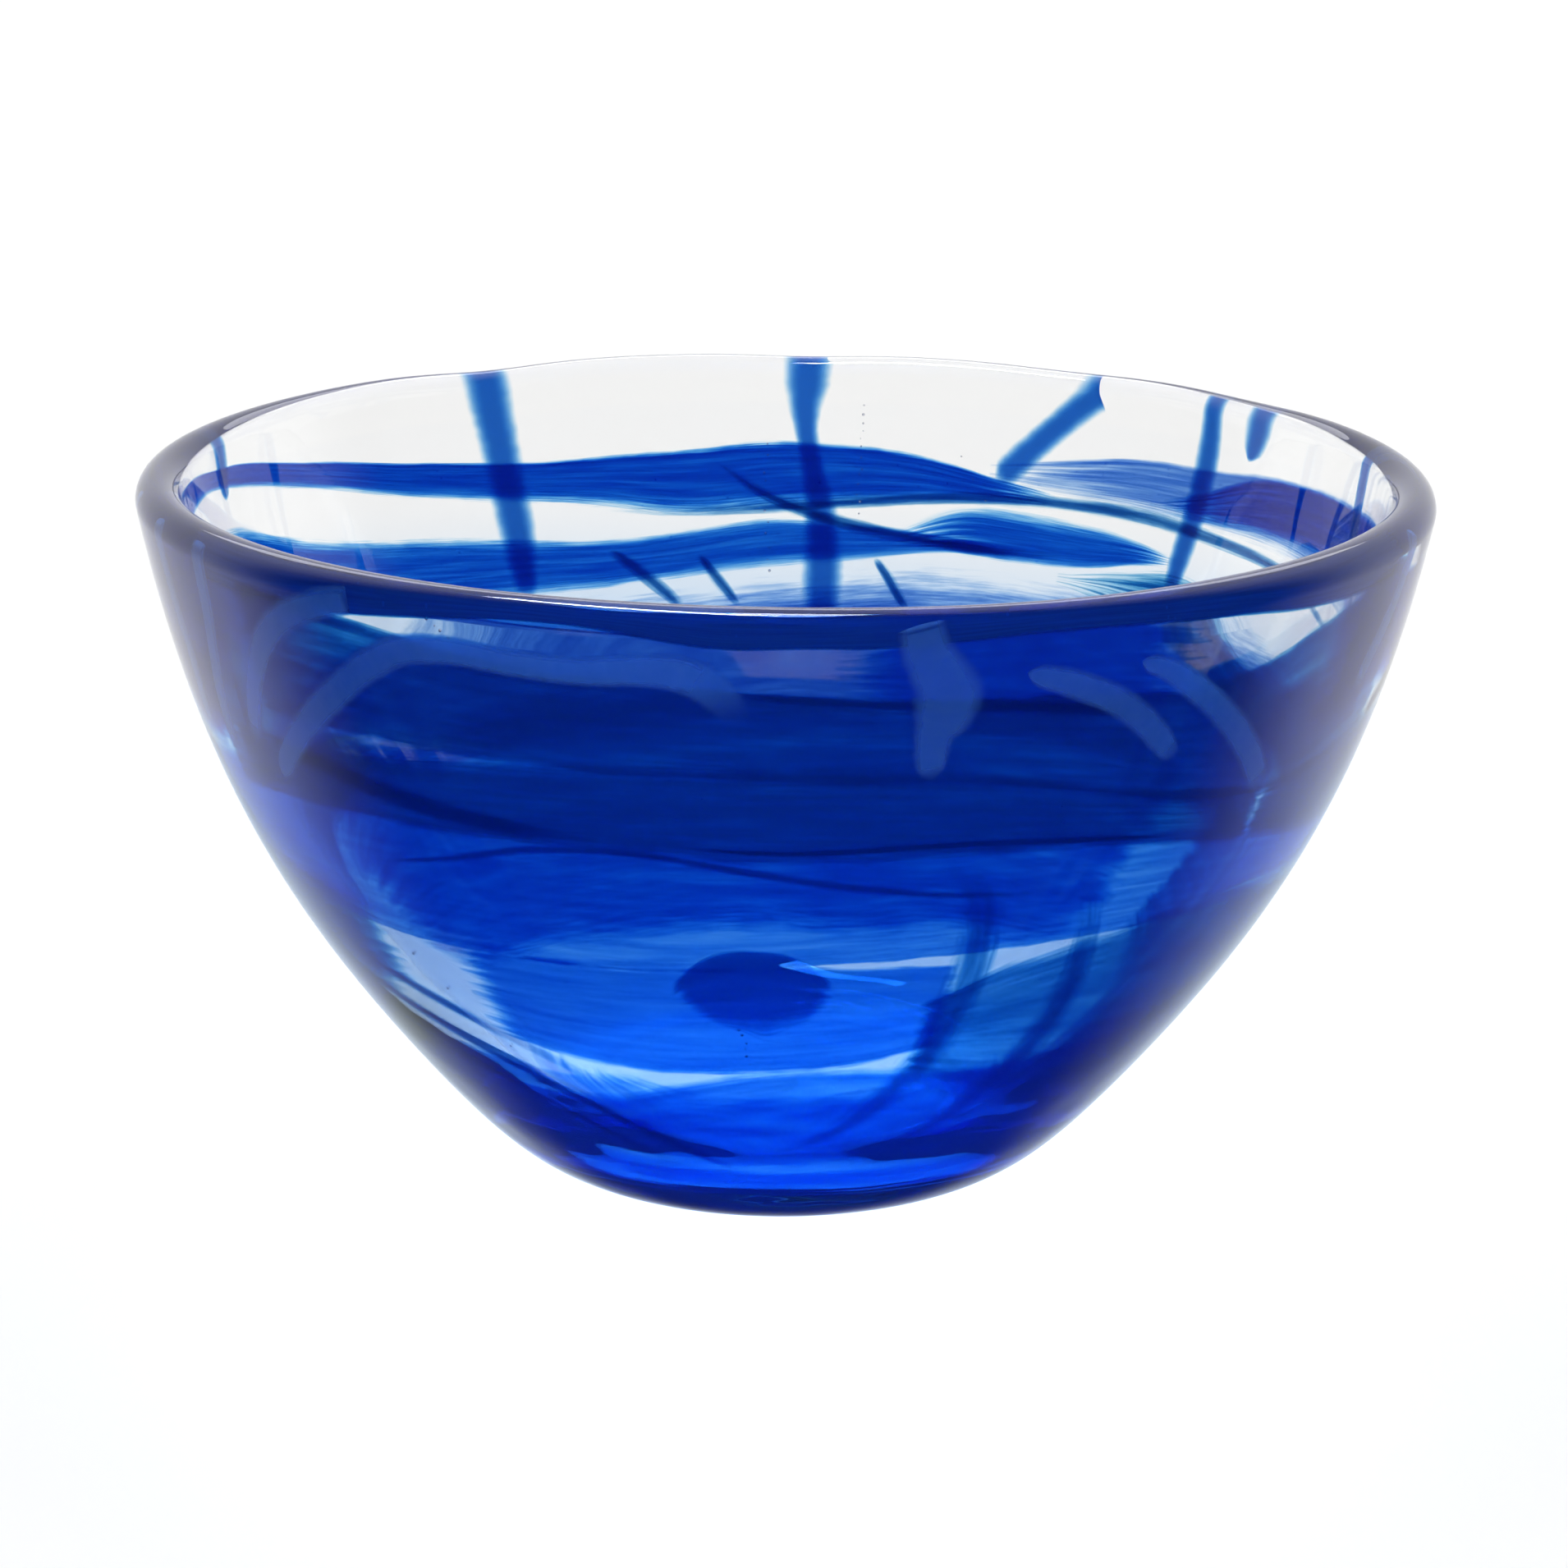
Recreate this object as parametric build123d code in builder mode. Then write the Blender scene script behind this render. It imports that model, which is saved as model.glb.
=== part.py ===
from build123d import *
import math
import numpy
import os

# A free-blown art glass bowl.
# A clear outer casing wraps a thinner clear inner gather.
# Between the two skins lie blue colour ribbons and thin dark trails.
# Nearer the outside hang soft blue drips that run down from the lip.
# Millimetres, +Z up. The origin is the centre of the flat base.
# Azimuth is counted from +X towards +Y, so the front of the bowl is at -90 degrees.

# ---------------------------------------------------------------- driving sizes
rim_wall = 5.54          # wall thickness just below the lip
base_extra = 3.5         # how much thicker the glass is at the base
base_fade = 14.0         # height over which the extra thickness fades away
floor_thickness = rim_wall + base_extra
foot_radius = 24.0       # flat face that the bowl stands on
reach_scale = 80.0       # turns the wall's curve parameter into a reach up from the foot
outer_profile = [(foot_radius, 0.0), (42.1, 0.0), (43.2, 23.8), (68.1, 24.9), (79.9, 85.8)]

# ---------------------------------------------------------------- depth of each colour layer
# A fraction of the wall, from 0 at the outer surface to 1 at the inner surface.
DRIP = 0.235
A = 0.41
B = 0.49
C = 0.56
D = 0.63
E = 0.70
F = 0.78
interface = 0.85
degree = 5               # degree of the curve across a ribbon
ribbon_half = 0.022      # half of a ribbon's thickness, as a fraction of the wall
trail_thickness = 0.46
drip_thickness = 1.2
gather_top = 80.0        # where the inner gather starts to thin out below the lip
gather_tip = 83.0        # where it has thinned to nothing on the inside surface

# ---------------------------------------------------------------- colour ribbons
# name: (layer, [(azimuth, lower edge height, upper edge height), ...])
# A negative height lies on the flat base, that far in from the edge of the foot.
ribbons = {
    "upper_band": (B, [
        (212, 71, 86), (204, 73, 86), (196, 75.6, 85.8), (186, 79, 85.4), (172, 81.2, 84.6), (160, 79.6, 83),
        (148, 76.6, 80.4), (136, 73.2, 78), (124, 70.6, 76.7), (112, 68.6, 75.9), (100, 66.4, 76.5),
        (88, 67.5, 77.4), (76, 68.6, 76.2), (66, 69.6, 73.6), (58, 70.2, 71.8)]),
    "back_lower_band": (C, [
        (204, 60, 74), (197, 60.4, 75), (190, 61, 76), (176, 62, 77), (164, 61.5, 76), (152, 60, 71.6),
        (140, 58.6, 68.6), (128, 57.6, 66.8), (116, 57.4, 65.2), (104, 58.2, 64.8), (92, 59.6, 66.5),
        (80, 61.2, 66.2), (70, 62.6, 65.2), (60, 63, 64.5)]),
    "right_fan": (D, [
        (78, 62.5, 65.5), (70, 62.6, 69.6), (62, 62.4, 69.8), (54, 62.8, 69), (47, 64.5, 68),
        (42, 65.4, 67)]),
    "right_pale_veil": (E, [
        (66, 73, 75.6), (58, 72, 77.4), (48, 71.6, 78.8), (38, 71, 79.8), (28, 70.6, 80.8),
        (16, 70, 81.4), (2, 69, 82), (-12, 67.4, 83), (-24, 66, 84), (-35, 64, 82)]),
    "right_dark_lobe": (B, [
        (46, 71.8, 73.4), (40, 71.2, 76), (33, 71.4, 79.2), (26, 72, 80.3), (16, 72.4, 80.4),
        (4, 71.6, 80.6), (-6, 70.4, 81.4), (-13, 69, 82.2), (-18.5, 68, 83)]),
    "right_side_band": (C, [
        (-39, 54.6, 63), (-34, 53.4, 64), (-28, 52, 65), (-14, 50, 66), (-2, 49.6, 64), (8, 49.6, 59),
        (18, 50, 57), (28, 51.6, 60), (38, 55, 65), (48, 58, 64), (56, 60, 62)]),
    "back_low_veil": (E, [
        (200, 36.6, 57.4), (193, 37.2, 58), (184, 38, 59), (172, 38.7, 59.2), (160, 39, 58.8),
        (148, 38.8, 58), (136, 38, 57),
        (120, 38, 57), (104, 38, 58.4), (88, 38, 60), (72, 38, 62), (56, 38, 62),
        (40, 38, 62), (24, 37, 62), (8, 36, 62), (-6, 36, 60)]),
    "back_deep_band": (C, [
        (186, 22, 37), (174, 17, 42), (160, 15, 45), (144, 14, 46), (128, 13.5, 46),
        (112, 13, 45.5), (96, 13, 45), (80, 13, 45), (64, 14, 45.5), (48, 15, 46),
        (34, 16, 46), (22, 18, 44)]),
    "front_top_band": (B, [
        (-143, 69, 85.6), (-134, 69, 84.8), (-124, 69, 83.4), (-112, 69, 81.8), (-98, 69, 80.2),
        (-84, 68.6, 79.2), (-72, 67.4, 79.2), (-62, 65.4, 78.4), (-54, 63, 77.6), (-46, 61, 79),
        (-38, 60.5, 82), (-30, 61.2, 84.8), (-21.5, 64, 86)]),
    "front_crest_band": (C, [
        (-152, 83.6, 87.2), (-146, 83.4, 87.4), (-138, 83.5, 87.6), (-128, 84.4, 87.7), (-120, 85.5, 87.7),
        (-112, 85.9, 87.7), (-104, 85.5, 87.7), (-96, 84.4, 87.7), (-88, 84.7, 87.7), (-80, 84.9, 87.7),
        (-70, 85.7, 87.7), (-60, 85.5, 87.7), (-50, 84.6, 87.7), (-41, 83.6, 87.7), (-32, 83.4, 87.5),
        (-22, 83.6, 87.2)]),
    "left_side_veil": (E, [
        (-178, 67, 84.6), (-168, 64, 86), (-158, 61.4, 86.4), (-148, 60.6, 86.2), (-138, 62, 85.4),
        (-128, 65.4, 84.4)]),
    "right_window_veil": (E, [
        (-85, 78.8, 84.4), (-77, 77.6, 86), (-69, 76.4, 86.6), (-61, 75.4, 86.4), (-53, 74.6, 85)]),
    "front_dark_band": (C, [
        (-154, 57, 65), (-143, 58, 66), (-132, 58.6, 67.4), (-120, 58.6, 69.2), (-108, 58.4, 70.6),
        (-96, 58.3, 71.4), (-84, 58.4, 71.4), (-72, 58.6, 70), (-62, 58, 67.6), (-52, 56.6, 65),
        (-40.4, 54.8, 63)]),
    "front_middle_band": (D, [
        (-168, 46, 61), (-152, 44.4, 61.5), (-138, 43.3, 61.5), (-124, 43.1, 61.5), (-110, 43.5, 61.5),
        (-96, 44.3, 61.5), (-82, 45.2, 61.5), (-68, 46, 61), (-54, 46.3, 60), (-40, 46, 58.5),
        (-24, 46, 56), (-8, 47, 54)]),
    "front_window_veil": (E, [
        (-127, 31, 43.6), (-117, 29, 44), (-106, 28.5, 44.5), (-94, 29, 45), (-82, 30, 45.5),
        (-72, 32, 45)]),
    "left_lower_band": (B, [
        (-204, 42, 46), (-190, 39, 49), (-176, 38, 50), (-162, 35, 48), (-150, 31, 46),
        (-141, 32, 44)]),
    "right_lower_band": (C, [
        (-74, 26, 40), (-64, 21, 45), (-50, 18, 48), (-36, 17, 48), (-20, 18, 46),
        (-4, 20, 44), (10, 23, 41)]),
    "front_bottom_band": (B, [
        (-156, 15, 24), (-146, 13, 25), (-136, 11.4, 24.6), (-126, 10, 23.6), (-115, 8.6, 24),
        (-104, 7.8, 27), (-93, 7.6, 30), (-81, 7.6, 31), (-69, 7.6, 30), (-56, 8, 30), (-43, 8.4, 31),
        (-33, 8.8, 31), (-24, 9.4, 30), (-16, 10, 28)]),
    "base_swirl_front": (D, [
        (-176, -5, 12), (-167, -7.6, 12.5), (-158, -10, 13), (-148, -12.2, 13), (-140, -14, 13),
        (-122, -17, 12), (-104, -18.5, 11),
        (-86, -19, 10.5), (-68, -18.5, 10.5), (-50, -17, 11), (-32, -14, 12), (-14, -10, 12),
        (2, -5, 11)]),
    "base_swirl_back": (F, [
        (75, -8, 8.8), (82, -12, 10.8), (89, -15, 12), (97, -16.5, 12.6), (105, -15.5, 12.2),
        (113, -12, 10.8), (121, -8, 8.8)]),
}

# ---------------------------------------------------------------- thin dark trails
# name: (layer, [(azimuth, height, width), ...])
trails = {
    "back_cross_trail": (F, [
        (98, 75, 1.6), (93, 70.6, 2.2), (87, 67.6, 2.6), (80, 65.6, 2.6), (72, 64.4, 2.2),
        (64, 64, 1.8), (56, 64.6, 1.2)]),
    "back_dark_trail": (A, [
        (112, 68.6, 1.2), (102, 67.4, 1.8), (92, 67.8, 2.2), (82, 68.8, 2.4), (72, 70, 2.4),
        (60, 70.8, 2.6), (48, 70.8, 2.8), (36, 69.8, 2.4), (22, 68.6, 2), (6, 67, 1.6), (-10, 65, 1.2)]),
    "back_stroke_left": (A, [
        (110.5, 62.6, 1.6), (108, 60.6, 2.6), (105, 57.6, 2.8), (102, 54.4, 1.6)]),
    "back_stroke_middle": (A, [
        (100, 61.6, 1.4), (98.6, 59.4, 2.2), (96.8, 56.8, 2.2), (95.2, 54.4, 1.4)]),
    "back_stroke_right": (A, [(79.6, 61.4, 1.4), (78, 59, 2), (76.4, 56.4, 2), (75, 54.4, 1.4)]),
    "front_upper_trail": (A, [
        (-97, 79.6, 1), (-88, 79, 1.6), (-79, 78.4, 2), (-70, 77.4, 2.2), (-62, 75.8, 1.8),
        (-55, 73.4, 1)]),
    "front_left_trail": (A, [
        (-147, 66.4, 1.6), (-139, 65, 3.4), (-131, 63.4, 4.2), (-123, 62.2, 4), (-115, 61.2, 3),
        (-106.5, 60.4, 1.4)]),
    "front_lower_trail": (A, [
        (-102, 60.7, 0.9), (-90, 60.3, 1.2), (-78, 60.8, 1.4), (-67, 60.4, 1.3), (-56, 59, 1.2),
        (-47, 57.2, 1)]),
    "front_arch_trail": (F, [
        (-134, 53.2, 1), (-124, 55.6, 1.4), (-114, 58.6, 1.6), (-104, 59.4, 1.6), (-94, 57.8, 1.6),
        (-84, 55.8, 1.8), (-74, 54.2, 1.6), (-65, 53.4, 1.2)]),
    "right_swirl_inner": (A, [
        (-77, 58.6, 2.4), (-72.5, 56, 5), (-70.6, 50, 7), (-70.6, 42, 7.6), (-72, 34, 7),
        (-75, 27, 6), (-81, 20.5, 4.4), (-90, 16, 2.4)]),
    "right_swirl_outer": (F, [
        (-62, 57.6, 2.4), (-58.6, 52, 4), (-57, 45, 5.4), (-56.4, 38, 6.4), (-58, 30, 6.8),
        (-63, 22.5, 6.4), (-72, 16.5, 5), (-84, 13.5, 2.8)]),
    "lower_left_trail": (A, [
        (-157, 36, 2), (-147, 33.4, 3), (-138, 30.4, 3.2), (-129, 27, 3), (-120, 23, 2.6),
        (-111, 18.5, 2.4), (-102, 14.4, 2), (-93, 11, 1.6)]),
    "lower_left_trail_fine": (A, [
        (-152, 29.6, 1), (-142, 27, 1.3), (-132, 23.6, 1.5), (-123, 20, 1.5), (-114, 15.6, 1.3),
        (-106, 12, 1)]),
}

# ---------------------------------------------------------------- drips below the lip
# name: [(azimuth, height, width), ...], each running down from the lip to its rounded tip
drips = {
    "drip_front_garland": [
        (-143, 61, 2.6), (-141.4, 63.4, 4), (-138.6, 66.8, 4.4), (-134.6, 71, 4.6), (-130.6, 75, 4.6),
        (-126.6, 78.8, 4.6), (-122.6, 81.4, 4.4), (-117.6, 82.2, 4), (-112, 81.6, 3.8), (-106.4, 81.4, 4),
        (-101.4, 82, 4.6), (-98, 81.6, 5.2), (-95.6, 79.8, 5.2), (-94.2, 77.6, 4.2), (-93.4, 75.6, 2.6)],
    "drip_front_right": [
        (-79.4, 87.2, 6), (-78.9, 84.6, 6.6), (-77.8, 82, 7.8), (-76.9, 79.6, 9), (-77.2, 77.2, 8.2),
        (-77.8, 74.6, 5.4), (-77.9, 71.6, 4.4), (-77.6, 69, 2.8)],
    "drip_right_inner": [
        (-70.4, 81.6, 2.8), (-66.4, 79.9, 4), (-62.2, 77.4, 4.2), (-58.8, 74.2, 4.2), (-56.2, 71, 3.8),
        (-54.4, 68.4, 2.4)],
    "drip_right_outer": [
        (-60, 81.6, 2.4), (-57, 80, 3.4), (-53.6, 77, 4), (-50.2, 73.6, 4.2), (-47, 70, 4.4),
        (-44.2, 66.2, 4.4), (-42.2, 63, 3.8), (-41.2, 61.2, 2.4)],
    "drip_left_slant": [
        (-128, 86, 3.4), (-132, 84.6, 4.2), (-136.4, 82, 4.6), (-140, 78, 4.6), (-142.8, 73, 4.2),
        (-145, 68, 3.6), (-146.5, 63.6, 2.2)],
    "drip_left_one": [
        (-148.4, 87.2, 4), (-148.8, 80, 3.6), (-150, 74, 3.4), (-151.5, 68, 3.2), (-152.4, 61, 2)],
    "drip_left_two": [
        (-158, 87.2, 3.6), (-157.5, 79, 3.6), (-157, 72, 3.6), (-158, 66, 3.2), (-159, 61.5, 2)],
    "drip_left_three": [(-169, 87.2, 3.6), (-169, 79, 3.4), (-170, 73, 2.8), (-170.4, 68.6, 1.8)],
    "drip_back_small": [(164, 87.2, 5), (164.4, 84, 4.4), (165, 81, 3.4), (165.4, 79, 2)],
    "drip_back_left": [
        (122.4, 87.2, 8.4), (122.2, 84, 8), (121.8, 79, 7.2), (121.4, 73, 7), (121, 66, 6.6),
        (121, 60, 5), (121, 56.5, 2.8)],
    "drip_back_centre": [
        (87.6, 87.2, 7.6), (87.8, 84.6, 7), (87.9, 81.4, 5.2), (87.7, 78, 3.8), (87, 73, 4.2),
        (86, 67, 5.4), (85.6, 60, 6.6), (85.6, 54, 6), (86, 49, 3.4)],
    "drip_back_slant": [
        (55.8, 85.8, 5.2), (57.6, 84.2, 5.4), (60.2, 81, 5), (62.8, 77.6, 5), (65, 74.6, 5),
        (66.6, 72.4, 3.2)],
    "drip_back_faint": [
        (41.4, 87.2, 4), (41, 84, 4.4), (40.8, 79, 5), (41, 73, 5), (41.6, 66, 4.4), (42, 61, 2.4)],
    "drip_back_short": [(34.2, 87.2, 6.4), (34.2, 84.8, 6), (34.4, 82.6, 4.6), (34.8, 80.8, 2.4)],
    "drip_side_one": [(12, 87.2, 4), (11, 80, 3.8), (9, 74, 3.4), (8, 69, 2)],
    "drip_side_two": [(-22, 87.2, 3.6), (-24, 80, 3.8), (-27, 74, 3.8), (-28.5, 70, 2.2)],
}


# ---------------------------------------------------------------- where the glass is
def outer_curve(t):
    """Point (radius, height) and unit inward normal of the outer surface, t from foot to lip."""
    weights = [math.comb(4, i) * t**i * (1 - t)**(4 - i) for i in range(5)]
    slopes = [4 * math.comb(3, i) * t**i * (1 - t)**(3 - i) for i in range(4)]
    steps = [(b[0] - a[0], b[1] - a[1]) for a, b in zip(outer_profile, outer_profile[1:])]
    radius = sum(w * p[0] for w, p in zip(weights, outer_profile))
    height = sum(w * p[1] for w, p in zip(weights, outer_profile))
    along_r = sum(s * p[0] for s, p in zip(slopes, steps))
    along_z = sum(s * p[1] for s, p in zip(slopes, steps))
    length = math.hypot(along_r, along_z)
    return (radius, height), (-along_z / length, along_r / length)


def wall_at(height):
    """Wall thickness where the outer surface has this height."""
    return rim_wall + base_extra * math.exp(-height / base_fade)


def layer_point(t, fraction):
    """Point (radius, height) at a fraction of the way through the wall."""
    (radius, height), (normal_r, normal_z) = outer_curve(t)
    depth = fraction * wall_at(height)
    return radius + normal_r * depth, height + normal_z * depth


def reach_of(height, fraction):
    """How far up the wall a layer has this height; a negative height is a reach on the base."""
    if height < 0:
        return height
    low, high = 0.0, 1.01
    for _ in range(40):
        middle = (low + high) / 2
        if layer_point(middle, fraction)[1] < height:
            low = middle
        else:
            high = middle
    return low * reach_scale


def point_at(reach, fraction):
    """Point (radius, height) of a layer on the wall, or on the base where the reach is negative."""
    if reach < 0:
        return foot_radius + reach, fraction * floor_thickness
    return layer_point(reach / reach_scale, fraction)


def wall_point(height, fraction):
    """Point (radius, height) of a layer at this height."""
    return point_at(reach_of(height, fraction), fraction)


def edge_handles(low, high, fraction):
    """Control points of the curve that lies on a layer from one height to another."""
    start, end = reach_of(low, fraction), reach_of(high, fraction)
    points = [point_at(start + (end - start) * i / degree, fraction) for i in range(degree + 1)]
    weights = [
        [math.comb(degree, k) * (i / degree)**k * (1 - i / degree)**(degree - k) for k in range(degree + 1)]
        for i in range(degree + 1)]
    return [tuple(handle) for handle in numpy.linalg.solve(weights, points)]


def in_space(azimuth, reach, fraction):
    """A layer point turned to its azimuth."""
    radius, height = point_at(reach, fraction)
    angle = math.radians(azimuth)
    return Vector(radius * math.cos(angle), radius * math.sin(angle), height)


def meridian(azimuth):
    """Plane through the axis of the bowl: local x is outward, local y is up."""
    angle = math.radians(azimuth)
    outward = (math.cos(angle), math.sin(angle), 0)
    return Plane(origin=(0, 0, 0), x_dir=outward, z_dir=(math.sin(angle), -math.cos(angle), 0))


def ribbon(fraction, stations):
    """A thin band between the skins, lofted through one section for each station."""
    with BuildPart() as band:
        for azimuth, low, high in stations:
            outside = edge_handles(low, high, fraction - ribbon_half)
            inside = edge_handles(low, high, fraction + ribbon_half)
            with BuildSketch(meridian(azimuth)):
                with BuildLine():
                    Bezier(*outside)
                    Line(outside[-1], inside[-1])
                    Bezier(*reversed(inside))
                    Line(inside[0], outside[0])
                make_face()
        loft()
    return band.part


def round_section(width, thickness):
    """Outline of a drip: a lens with full, rounded flanks."""
    bulge = thickness * 2 / 3
    left, right = (-width / 2, 0), (width / 2, 0)
    Bezier(left, (-width / 4, bulge), (width / 4, bulge), right)
    Bezier(right, (width / 4, -bulge), (-width / 4, -bulge), left)


def flat_section(width, thickness):
    """Outline of a trail: a flattened thread with sharp edges."""
    half_width, half_flat, half_thick = width / 2, width / 4, thickness / 2
    upper = [(half_flat, half_thick), (-half_flat, half_thick)]
    lower = [(-half_flat, -half_thick), (half_flat, -half_thick)]
    Polyline((half_width, 0), *upper, (-half_width, 0), *lower, (half_width, 0))


def cord(fraction, stations, thickness, section):
    """A flattened thread inside the glass, lofted through one section across its path for each station."""
    reaches = [reach_of(height, fraction) for azimuth, height, width in stations]
    places = [in_space(station[0], reach, fraction) for station, reach in zip(stations, reaches)]
    deeper = [in_space(station[0], reach, interface) for station, reach in zip(stations, reaches)]
    last = len(stations) - 1
    with BuildPart() as thread:
        for i, (azimuth, height, width) in enumerate(stations):
            along = places[min(i + 1, last)] - places[max(i - 1, 0)]
            inward = deeper[i] - places[i]
            across = along.cross(inward)
            with BuildSketch(Plane(origin=places[i], x_dir=across, z_dir=along)):
                with BuildLine():
                    section(width, thickness)
                make_face()
        loft()
    return thread.part


# ---------------------------------------------------------------- the colour
colour = {}
for name, (layer, stations) in ribbons.items():
    colour[name] = ribbon(layer, stations)
for name, (layer, stations) in trails.items():
    colour[name] = cord(layer, stations, trail_thickness, flat_section)
for name, stations in drips.items():
    colour[name] = cord(DRIP, stations, drip_thickness, round_section)

# ---------------------------------------------------------------- the clear glass
(lip_r, lip_z), (normal_r, normal_z) = outer_curve(1)
lip_outside = (lip_r, lip_z)
lip_inside = layer_point(1, 1)
lip_radius = math.dist(lip_outside, lip_inside) / 2
lip_middle_r, lip_middle_z = (lip_r + lip_inside[0]) / 2, (lip_z + lip_inside[1]) / 2
lip_top = (lip_middle_r + lip_radius * normal_z, lip_middle_z - lip_radius * normal_r)
tip = wall_point(gather_tip, 1)
inside_heights = [9.6, 12, 17, 24, 33, 44, 56, 68, gather_tip]
inside_wall = [(foot_radius, floor_thickness)] + [wall_point(z, 1) for z in inside_heights]
seam_heights = [8.4, 11, 16, 23, 32, 43, 55, 68, gather_top]
seam_floor = interface * floor_thickness
seam_wall = [(foot_radius, seam_floor)] + [wall_point(z, interface) for z in seam_heights]
above_tip = [tip, wall_point(85, 1), lip_inside]

with BuildPart() as inner_gather:
    with BuildSketch(Plane.XZ):
        with BuildLine():
            Line((0, seam_floor), seam_wall[0])
            Spline(*seam_wall)
            Line(seam_wall[-1], tip)
            Spline(*reversed(inside_wall))
            Line(inside_wall[0], (0, floor_thickness))
            Line((0, floor_thickness), (0, seam_floor))
        make_face()
    revolve(axis=Axis.Z)

with BuildPart() as outer_casing:
    with BuildSketch(Plane.XZ):
        with BuildLine():
            Line((0, 0), (foot_radius, 0))
            Bezier(*outer_profile)
            ThreePointArc(lip_outside, lip_top, lip_inside)
            Spline(*reversed(above_tip))
            Line(tip, seam_wall[-1])
            Spline(*reversed(seam_wall))
            Line(seam_wall[0], (0, seam_floor))
            Line((0, seam_floor), (0, 0))
        make_face()
    revolve(axis=Axis.Z)
    for piece in colour.values():
        add(piece, mode=Mode.SUBTRACT)

# ---------------------------------------------------------------- one file for each piece
os.makedirs("parts", exist_ok=True)
pieces = {"inner_gather": inner_gather.part, "outer_casing": outer_casing.part, **colour}
for name, piece in pieces.items():
    piece.label = name
    export_step(piece, f"parts/{name}.step")
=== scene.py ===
"""Art glass bowl: clear cased glass with cobalt ribbons, dark trails and soft drips inside the wall."""
import math
import random

import bpy
import numpy as np
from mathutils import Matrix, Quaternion, Vector


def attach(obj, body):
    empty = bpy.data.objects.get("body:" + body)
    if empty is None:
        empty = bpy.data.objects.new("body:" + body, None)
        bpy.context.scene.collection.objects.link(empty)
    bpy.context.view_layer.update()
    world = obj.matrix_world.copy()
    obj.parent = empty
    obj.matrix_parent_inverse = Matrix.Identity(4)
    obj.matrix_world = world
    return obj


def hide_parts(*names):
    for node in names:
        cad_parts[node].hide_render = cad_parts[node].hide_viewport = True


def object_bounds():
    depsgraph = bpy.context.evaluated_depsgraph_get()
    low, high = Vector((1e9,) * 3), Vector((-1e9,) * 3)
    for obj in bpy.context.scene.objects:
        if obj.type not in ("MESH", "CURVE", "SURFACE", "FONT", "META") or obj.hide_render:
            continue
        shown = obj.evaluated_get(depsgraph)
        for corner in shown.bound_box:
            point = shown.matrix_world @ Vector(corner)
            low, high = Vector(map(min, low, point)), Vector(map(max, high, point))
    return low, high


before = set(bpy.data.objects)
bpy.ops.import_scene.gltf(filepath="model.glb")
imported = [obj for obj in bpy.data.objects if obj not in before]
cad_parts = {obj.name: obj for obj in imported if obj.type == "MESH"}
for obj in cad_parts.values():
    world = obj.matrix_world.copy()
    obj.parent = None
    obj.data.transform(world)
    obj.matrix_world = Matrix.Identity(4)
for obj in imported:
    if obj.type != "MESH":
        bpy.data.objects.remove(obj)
cad_low, cad_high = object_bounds()

# Lengths are in millimetres up to the mesh builders, which turn them into metres.
# Azimuth is in degrees from +X towards +Y, so the front of the bowl is at -90.
MM = 0.001

# ------------------------------------------------------------------ sizes of the bowl
HEIGHT = cad_high.z / MM
FOOT_RADIUS = 24.0
RIM_WALL = 5.54
BASE_EXTRA = 3.5
BASE_FADE = 14.0
FLOOR_THICKNESS = RIM_WALL + BASE_EXTRA
OUTER_PROFILE = np.array([(FOOT_RADIUS, 0.0), (42.1, 0.0), (43.2, 23.8), (68.1, 24.9), (79.9, 85.8)])
REACH_SCALE = 80.0
REACH_LIMIT = 80.8
GATHER_TOP = 80.0
GATHER_TIP = 83.0

# Depth of each layer, from 0 at the outer surface to 1 at the inner surface.
DRIP, A, B, C, D, E, F = 0.235, 0.41, 0.49, 0.56, 0.63, 0.70, 0.78
INTERFACE = 0.85
# Half the thickness of each kind of colour piece, as a fraction of the wall.
RIBBON_HALF = 0.022
TRAIL_HALF = 0.04
DRIP_HALF = 0.11

# How the hand-made bowl leaves the true round: a slight lean, and dips of the lip above some drips.
LEAN = 0.006
LIP_DIPS = [(122, 0.65, 8), (88, 0.4, 7), (60, 0.3, 8), (37, 0.3, 8), (-98, -0.15, 20), (-60, 0.2, 22)]


# ------------------------------------------------------------------ the shape of the wall
def outer_curve(t):
    """Radius, height and inward normal of the outer surface, t from 0 at the foot to 1 at the lip."""
    t = np.asarray(t, float)[..., None]
    place = sum(math.comb(4, i) * t**i * (1 - t)**(4 - i) * OUTER_PROFILE[i] for i in range(5))
    steps = np.diff(OUTER_PROFILE, axis=0)
    slope = sum(4 * math.comb(3, i) * t**i * (1 - t)**(3 - i) * steps[i] for i in range(4))
    slope = slope / np.linalg.norm(slope, axis=-1, keepdims=True)
    normal = np.stack([-slope[..., 1], slope[..., 0]], -1)
    return place, normal


def layer_point(reach, fraction):
    """(radius, height) of a layer; a negative reach lies on the flat base."""
    reach, fraction = np.broadcast_arrays(np.asarray(reach, float), fraction)
    place, normal = outer_curve(np.clip(reach, 0, None) / REACH_SCALE)
    depth = fraction * (RIM_WALL + BASE_EXTRA * np.exp(-place[..., 1] / BASE_FADE))
    point = place + normal * depth[..., None]
    point[..., 0] += np.minimum(reach, 0)
    return point


def reach_of(height, fraction):
    """How far up the wall a layer has this height. A negative height is already a reach on the base."""
    height = np.asarray(height, float)
    low, high = np.zeros_like(height), np.full_like(height, REACH_LIMIT)
    for _ in range(40):
        middle = (low + high) / 2
        below = layer_point(middle, fraction)[..., 1] < height
        low, high = np.where(below, middle, low), np.where(below, high, middle)
    return np.where(height < 0, height, low)


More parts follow.
